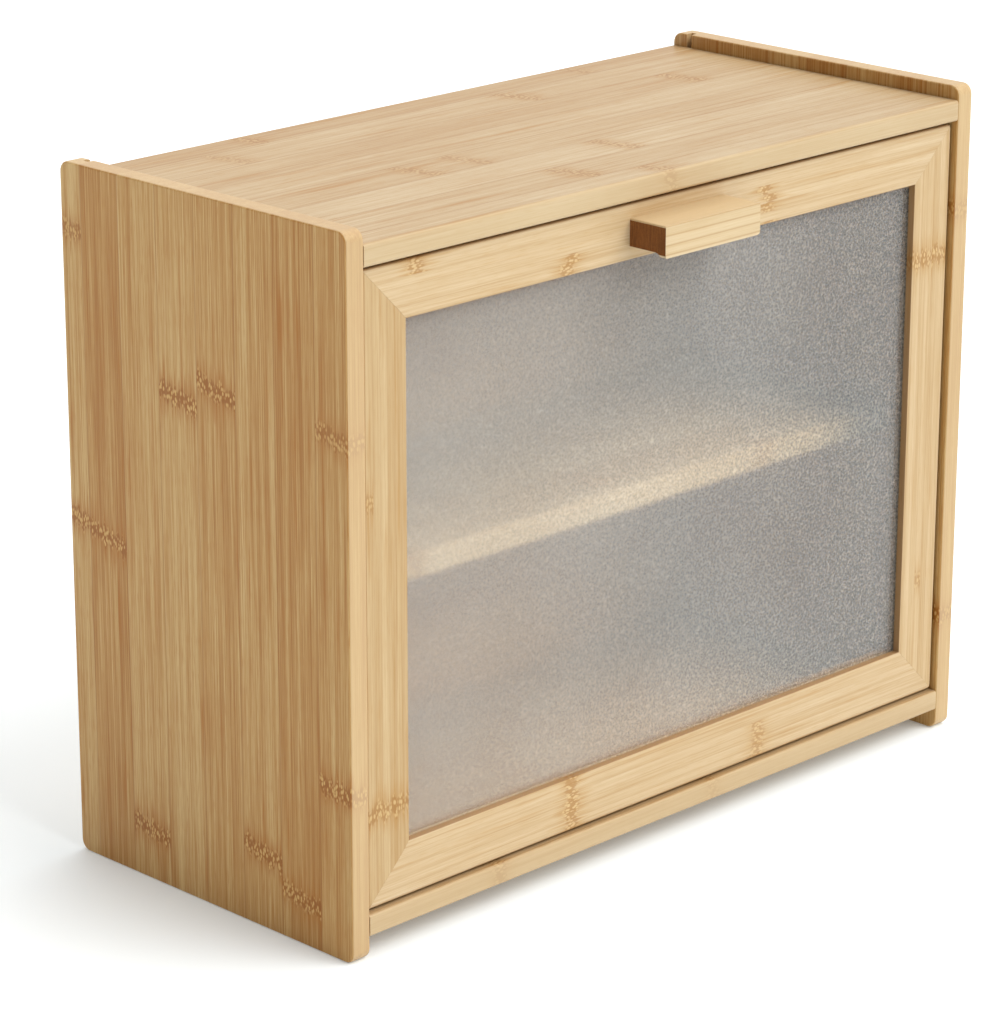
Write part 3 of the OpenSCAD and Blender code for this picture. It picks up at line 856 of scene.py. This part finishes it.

# The pebbles are cut deeper towards the right, where the sheet is also painted a little darker: painted shade
# for the dim inside seen through it.
pebble_depth = pane_across * 0.95 + 0.30
painted_right_shade = smooth(pane_across, 0.45, 1.0) * 0.25
grain = (pebbles - 0.45) * pebble_depth - painted_right_shade + 0.68
milk_stops = [(0.0, rgb(0.20, 0.235, 0.245)), (1.0, rgb(0.98, 0.99, 0.96))]
clear_stops = [(0.0, rgb(0.27, 0.29, 0.305)), (1.0, rgb(1.0, 0.94, 0.83))]
milk_colour = grain.node("ValToRGB", {"stops": milk_stops}, {0: grain})
clear_colour = grain.node("ValToRGB", {"stops": clear_stops}, {0: grain})
clear_tint = mixed(pane_front, rgb(0.88, 0.88, 0.87), clear_colour)
pane_bump = pebbles.node("Bump", {}, {"Strength": 0.05, "Distance": 0.1 * MM, "Height": pebbles})
wire(frost_shader, Base_Color=milk_colour, Roughness=0.55, Normal=pane_bump)
clear = grain.node("BsdfPrincipled", {}, {
    "Base Color": clear_tint, "Roughness": 0.15, "IOR": 1.45, "Transmission Weight": 1.0,
})

# Lamps shine straight through, so that they light the shelf behind the pane.
passing = grain.node("BsdfTransparent", {}, {"Color": rgb(0.93, 0.915, 0.885)})
milk = (pane_clouds - 0.5) * 0.10 + frost_share
lamp_ray = grain.node("LightPath", {}, {}, 1)
frosted = milk.node("MixShader", {}, {0: milk, 1: clear, 2: Thread(frost_shader.outputs[0])})
pane_out = lamp_ray.node("MixShader", {}, {0: lamp_ray, 1: frosted, 2: passing})
pane_tree = pane_coat.node_tree
pane_tree.links.new(pane_out.socket, pane_tree.nodes["Material Output"].inputs["Surface"])
pane_mesh = board_mesh(pane_low, pane_high, "y", 0.4 * MM, 0.2 * MM)
place_piece("door_pane", pane_mesh, pane_coat, "frosted_pane", "door", "door_pane")

# ---- Handle ----
# A bar of the same bamboo, sawn square at both ends, with a hooked lip along its front for the
# fingertips. Two screws hold it from behind the top rail.

handle_low, handle_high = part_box("door_handle")
hook_thick, hook_drop = 3.9 * MM, 2.1 * MM
lower_turn, upper_turn = 1.8 * MM, 0.8 * MM
front_ease = 0.45 * MM
front_turn = 0.3 * front_ease
hook_centre = handle_low.y + hook_thick + hook_drop
hook_arc = [
    (hook_centre - hook_drop * math.cos(turn), handle_low.z + hook_drop * math.sin(turn)) for turn in turns
]
handle_section = hook_arc + [
    (handle_high.y, handle_low.z + hook_drop),
    (handle_high.y, handle_high.z),
    (handle_low.y + front_ease, handle_high.z),
    (handle_low.y + front_turn, handle_high.z - front_turn),
    (handle_low.y, handle_high.z - front_ease),
    (handle_low.y, handle_low.z + front_ease),
    (handle_low.y + front_turn, handle_low.z + front_turn),
    (handle_low.y + front_ease, handle_low.z),
]
end_steps = 6
handle_rings = []
for end, way in ((handle_low.x, 1), (handle_high.x, -1)):
    layers = []
    for step in range(end_steps + 1):
        angle = math.pi / 2 * step / end_steps
        reach = lower_turn * (1 - math.cos(angle))
        floor_z = handle_low.z + lower_turn * (1 - math.sin(angle))
        roof_cut = max(0.0, 1 - reach / upper_turn)
        roof_z = handle_high.z - upper_turn * (1 - math.sqrt(1 - roof_cut * roof_cut))
        layers.append([(end + way * reach, y, min(max(z, floor_z), roof_z)) for y, z in handle_section])
    handle_rings += layers if way == 1 else layers[::-1]
handle_mesh = skin(handle_rings)
handle_tone = (rgb(0.46, 0.30, 0.13), rgb(0.59, 0.45, 0.265), rgb(0.67, 0.54, 0.35))
handle_rows = [(0.6, 170, none), (0.5, none, none), (0.58, none, none), (0.5, none, none)]
handle_lamination = 4.2
handle_length = (handle_high.x - handle_low.x) / MM
handle_rim = ("z", rgb(0.66, 0.50, 0.29), 0.5)
handle_coat = bamboo("door_handle_bamboo", handle_low, "x", "z", handle_lamination, 0.4, handle_rows,
                     handle_tone, 310.0, handle_length, knots=0.0, streak=0.6, edge=handle_rim)

# The sawn ends soak up more lacquer, and show the dark ends of the fibre bundles.
end_coat, end_shader, end_place = start_material("door_handle_end_grain")
end_place = in_mm(end_place)
end_streaks = end_place.node("Mapping", {}, {"Vector": end_place, "Scale": (0.2, 1.6, 0.12)})
end_lines = end_streaks.node("TexNoise", {}, {
    "Vector": end_streaks, "Scale": 1.0, "Detail": 3.0, "Roughness": 0.6,
})
end_bundles = end_place.node("TexVoronoi", {}, {"Vector": end_place, "Scale": 1.9})
end_shade = (end_lines - 0.5) * 1.5 + (0.35 - end_bundles) * 0.35 + 0.5
end_stops = [(0.0, rgb(0.12, 0.045, 0.014)), (0.5, rgb(0.215, 0.075, 0.018)), (1.0, rgb(0.34, 0.14, 0.04))]
end_colour = end_shade.node("ValToRGB", {"stops": end_stops}, {0: end_shade})
wire(end_shader, Base_Color=end_colour, Roughness=0.6, Specular_IOR_Level=0.2)
sawn = 0.99
for face in handle_mesh.faces:
    if abs(face.normal.x) > sawn:
        face.material_index = 1
place_piece("door_handle", handle_mesh, [handle_coat, end_coat], "bamboo_frame", "door", "door_handle")

# ---- Handle screws ----
# Countersunk wood screws, driven through the top rail from behind.

handle_screw_length = handle_screws_high.y - handle_screws_low.y
handle_screws = [screw_mesh(head, forward, handle_shank, handle_screw_length) for head in handle_screw_heads]
place_piece("handle_screws", joined(*handle_screws), steel, "plated_steel", "door", "handle_screws", sharp=30)

# ---- Strike plates and their screws ----
# Two steel discs let into the rear of the top rail, where the magnets meet them, each held by
# one small countersunk screw.

strike_low, strike_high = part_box("strike_screws")
strike_screw_length = strike_high.y - strike_low.y
plate_rim = 0.2 * MM
plate_profile = [(0, plate_radius - plate_rim), (plate_rim, plate_radius), (plate_thick, plate_radius)]
strike_screws = []
for name, hand in (("left_strike_plate", -1), ("right_strike_plate", 1)):
    centre = Vector((plate_x * hand, plate_high.y, plate_z))
    disc = skin(turned_rings(plate_profile, centre, forward, disc_steps))
    plate = cut_from(disc, countersink(centre, forward, strike_shank, plate_thick + MM))
    place_piece(name, plate, steel, "plated_steel", "door", name)
    strike_screws.append(screw_mesh(centre, forward, strike_shank, strike_screw_length))
place_piece("strike_screws", joined(*strike_screws), steel, "plated_steel", "door", "strike_screws", sharp=30)

# ---- Hinge pins ----
# Two steel pins, pressed into the door's lower corners, that turn in blind holes in the sides.

pin_low, pin_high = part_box("right_hinge_pin")
pin_radius, pin_chamfer = (pin_high.z - pin_low.z) / 2, 0.4 * MM
hinge_pin = pin_profile(pin_high.x - pin_low.x, pin_radius, pin_chamfer)
for name, hand in (("left_hinge_pin", -1), ("right_hinge_pin", 1)):
    start = Vector((pin_low.x * hand, (pin_low.y + pin_high.y) / 2, (pin_low.z + pin_high.z) / 2))
    pin = skin(turned_rings(hinge_pin, start, Vector((hand, 0, 0))))
    place_piece(name, pin, steel, "plated_steel", "door", name)
